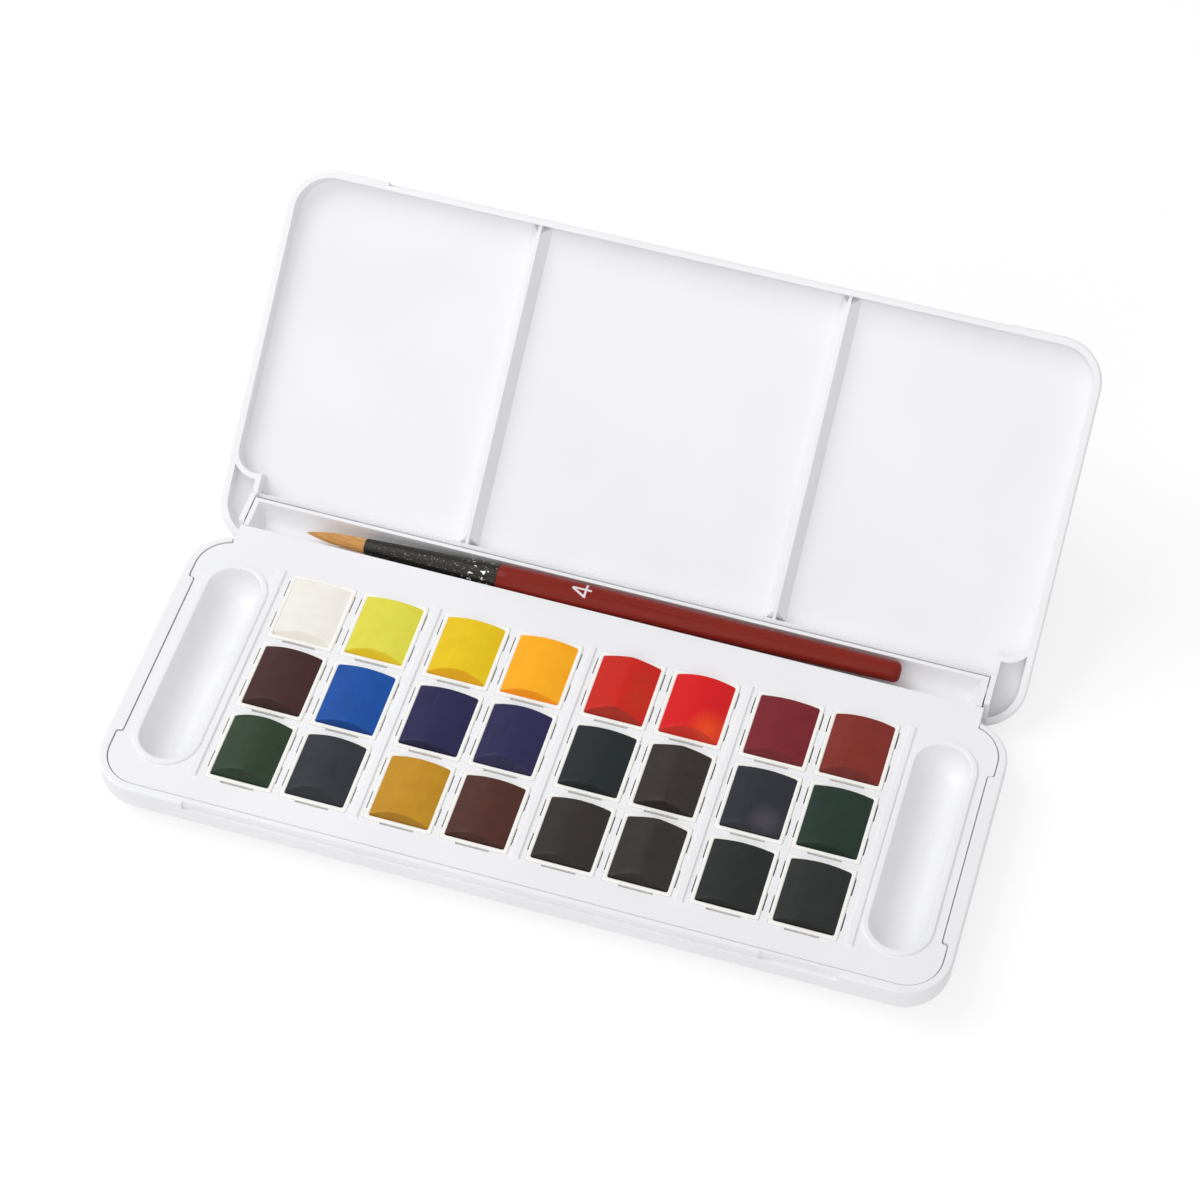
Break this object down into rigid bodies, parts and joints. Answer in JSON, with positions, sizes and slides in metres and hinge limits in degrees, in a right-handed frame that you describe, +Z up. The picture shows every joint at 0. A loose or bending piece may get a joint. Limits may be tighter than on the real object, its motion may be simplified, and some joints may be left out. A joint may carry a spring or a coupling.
{
  "type": "watercolour paint set",
  "caption": "Hinged case of watercolour half pans in a lift-out tray with water wells, a mixing lid and a brush in a trough.",
  "frame": {"origin": "centre of the flat underside of the base, on the table", "axes": "+X along the length towards the handle end of the brush, +Y from the front edge to the hinge, +Z up"},
  "size_m": [0.2, 0.1537, 0.062],
  "materials": {
    "case_white": "gloss",
    "pan_white": "gloss",
    "brush_hair": "matte",
    "brush_ferrule": "gloss",
    "brush_handle": "gloss",
    "paint_white": "satin",
    "paint_lemon": "satin",
    "paint_yellow": "satin",
    "paint_orange_yellow": "satin",
    "paint_vermilion": "satin",
    "paint_red": "satin",
    "paint_maroon": "satin",
    "paint_brick": "satin",
    "paint_dark_maroon": "satin",
    "paint_blue": "satin",
    "paint_indigo": "satin",
    "paint_violet_blue": "satin",
    "paint_blue_black": "satin",
    "paint_umber": "satin",
    "paint_slate": "satin",
    "paint_deep_green": "satin",
    "paint_olive_green": "satin",
    "paint_slate_grey": "satin",
    "paint_ochre": "satin",
    "paint_brown": "satin",
    "paint_brown_black": "satin",
    "paint_sepia": "satin",
    "paint_black": "satin",
    "paint_soft_black": "satin"
  },
  "bodies": {
    "base": {"base_shell": "case_white"},
    "tray": {"paint_tray": "case_white"},
    "lid": {"mixing_lid": "case_white"},
    "brush": {"brush_hair": "brush_hair", "brush_ferrule": "brush_ferrule", "brush_handle": "brush_handle"},
    "half_pan_r1_c1": {"pan_r1_c1": "pan_white", "paint_r1_c1": "paint_white"},
    "half_pan_r1_c2": {"pan_r1_c2": "pan_white", "paint_r1_c2": "paint_lemon"},
    "half_pan_r1_c3": {"pan_r1_c3": "pan_white", "paint_r1_c3": "paint_yellow"},
    "half_pan_r1_c4": {"pan_r1_c4": "pan_white", "paint_r1_c4": "paint_orange_yellow"},
    "half_pan_r1_c5": {"pan_r1_c5": "pan_white", "paint_r1_c5": "paint_vermilion"},
    "half_pan_r1_c6": {"pan_r1_c6": "pan_white", "paint_r1_c6": "paint_red"},
    "half_pan_r1_c7": {"pan_r1_c7": "pan_white", "paint_r1_c7": "paint_maroon"},
    "half_pan_r1_c8": {"pan_r1_c8": "pan_white", "paint_r1_c8": "paint_brick"},
    "half_pan_r2_c1": {"pan_r2_c1": "pan_white", "paint_r2_c1": "paint_dark_maroon"},
    "half_pan_r2_c2": {"pan_r2_c2": "pan_white", "paint_r2_c2": "paint_blue"},
    "half_pan_r2_c3": {"pan_r2_c3": "pan_white", "paint_r2_c3": "paint_indigo"},
    "half_pan_r2_c4": {"pan_r2_c4": "pan_white", "paint_r2_c4": "paint_violet_blue"},
    "half_pan_r2_c5": {"pan_r2_c5": "pan_white", "paint_r2_c5": "paint_blue_black"},
    "half_pan_r2_c6": {"pan_r2_c6": "pan_white", "paint_r2_c6": "paint_umber"},
    "half_pan_r2_c7": {"pan_r2_c7": "pan_white", "paint_r2_c7": "paint_slate"},
    "half_pan_r2_c8": {"pan_r2_c8": "pan_white", "paint_r2_c8": "paint_deep_green"},
    "half_pan_r3_c1": {"pan_r3_c1": "pan_white", "paint_r3_c1": "paint_olive_green"},
    "half_pan_r3_c2": {"pan_r3_c2": "pan_white", "paint_r3_c2": "paint_slate_grey"},
    "half_pan_r3_c3": {"pan_r3_c3": "pan_white", "paint_r3_c3": "paint_ochre"},
    "half_pan_r3_c4": {"pan_r3_c4": "pan_white", "paint_r3_c4": "paint_brown"},
    "half_pan_r3_c5": {"pan_r3_c5": "pan_white", "paint_r3_c5": "paint_brown_black"},
    "half_pan_r3_c6": {"pan_r3_c6": "pan_white", "paint_r3_c6": "paint_sepia"},
    "half_pan_r3_c7": {"pan_r3_c7": "pan_white", "paint_r3_c7": "paint_black"},
    "half_pan_r3_c8": {"pan_r3_c8": "pan_white", "paint_r3_c8": "paint_soft_black"}
  },
  "joints": [
    {"name": "lid_hinge", "type": "hinge", "parent": "base", "child": "lid", "pos_m": [0, 0.0472, 0.01], "axis": [-1, 0, 0], "range_deg": [-140.7, 0]},
    {"name": "tray_lift", "type": "slide", "parent": "base", "child": "tray", "axis": [0, 0, 1], "range_m": [0, 0.03]},
    {"name": "brush_lift", "type": "slide", "parent": "base", "child": "brush", "axis": [0, 0, 1], "range_m": [0, 0.015]},
    {"name": "pan_lift_r1_c1", "type": "slide", "parent": "tray", "child": "half_pan_r1_c1", "axis": [0, 0, 1], "range_m": [0, 0.015]},
    {"name": "pan_lift_r1_c2", "type": "slide", "parent": "tray", "child": "half_pan_r1_c2", "axis": [0, 0, 1], "range_m": [0, 0.015]},
    {"name": "pan_lift_r1_c3", "type": "slide", "parent": "tray", "child": "half_pan_r1_c3", "axis": [0, 0, 1], "range_m": [0, 0.015]},
    {"name": "pan_lift_r1_c4", "type": "slide", "parent": "tray", "child": "half_pan_r1_c4", "axis": [0, 0, 1], "range_m": [0, 0.015]},
    {"name": "pan_lift_r1_c5", "type": "slide", "parent": "tray", "child": "half_pan_r1_c5", "axis": [0, 0, 1], "range_m": [0, 0.015]},
    {"name": "pan_lift_r1_c6", "type": "slide", "parent": "tray", "child": "half_pan_r1_c6", "axis": [0, 0, 1], "range_m": [0, 0.015]},
    {"name": "pan_lift_r1_c7", "type": "slide", "parent": "tray", "child": "half_pan_r1_c7", "axis": [0, 0, 1], "range_m": [0, 0.015]},
    {"name": "pan_lift_r1_c8", "type": "slide", "parent": "tray", "child": "half_pan_r1_c8", "axis": [0, 0, 1], "range_m": [0, 0.015]},
    {"name": "pan_lift_r2_c1", "type": "slide", "parent": "tray", "child": "half_pan_r2_c1", "axis": [0, 0, 1], "range_m": [0, 0.015]},
    {"name": "pan_lift_r2_c2", "type": "slide", "parent": "tray", "child": "half_pan_r2_c2", "axis": [0, 0, 1], "range_m": [0, 0.015]},
    {"name": "pan_lift_r2_c3", "type": "slide", "parent": "tray", "child": "half_pan_r2_c3", "axis": [0, 0, 1], "range_m": [0, 0.015]},
    {"name": "pan_lift_r2_c4", "type": "slide", "parent": "tray", "child": "half_pan_r2_c4", "axis": [0, 0, 1], "range_m": [0, 0.015]},
    {"name": "pan_lift_r2_c5", "type": "slide", "parent": "tray", "child": "half_pan_r2_c5", "axis": [0, 0, 1], "range_m": [0, 0.015]},
    {"name": "pan_lift_r2_c6", "type": "slide", "parent": "tray", "child": "half_pan_r2_c6", "axis": [0, 0, 1], "range_m": [0, 0.015]},
    {"name": "pan_lift_r2_c7", "type": "slide", "parent": "tray", "child": "half_pan_r2_c7", "axis": [0, 0, 1], "range_m": [0, 0.015]},
    {"name": "pan_lift_r2_c8", "type": "slide", "parent": "tray", "child": "half_pan_r2_c8", "axis": [0, 0, 1], "range_m": [0, 0.015]},
    {"name": "pan_lift_r3_c1", "type": "slide", "parent": "tray", "child": "half_pan_r3_c1", "axis": [0, 0, 1], "range_m": [0, 0.015]},
    {"name": "pan_lift_r3_c2", "type": "slide", "parent": "tray", "child": "half_pan_r3_c2", "axis": [0, 0, 1], "range_m": [0, 0.015]},
    {"name": "pan_lift_r3_c3", "type": "slide", "parent": "tray", "child": "half_pan_r3_c3", "axis": [0, 0, 1], "range_m": [0, 0.015]},
    {"name": "pan_lift_r3_c4", "type": "slide", "parent": "tray", "child": "half_pan_r3_c4", "axis": [0, 0, 1], "range_m": [0, 0.015]},
    {"name": "pan_lift_r3_c5", "type": "slide", "parent": "tray", "child": "half_pan_r3_c5", "axis": [0, 0, 1], "range_m": [0, 0.015]},
    {"name": "pan_lift_r3_c6", "type": "slide", "parent": "tray", "child": "half_pan_r3_c6", "axis": [0, 0, 1], "range_m": [0, 0.015]},
    {"name": "pan_lift_r3_c7", "type": "slide", "parent": "tray", "child": "half_pan_r3_c7", "axis": [0, 0, 1], "range_m": [0, 0.015]},
    {"name": "pan_lift_r3_c8", "type": "slide", "parent": "tray", "child": "half_pan_r3_c8", "axis": [0, 0, 1], "range_m": [0, 0.015]}
  ]
}
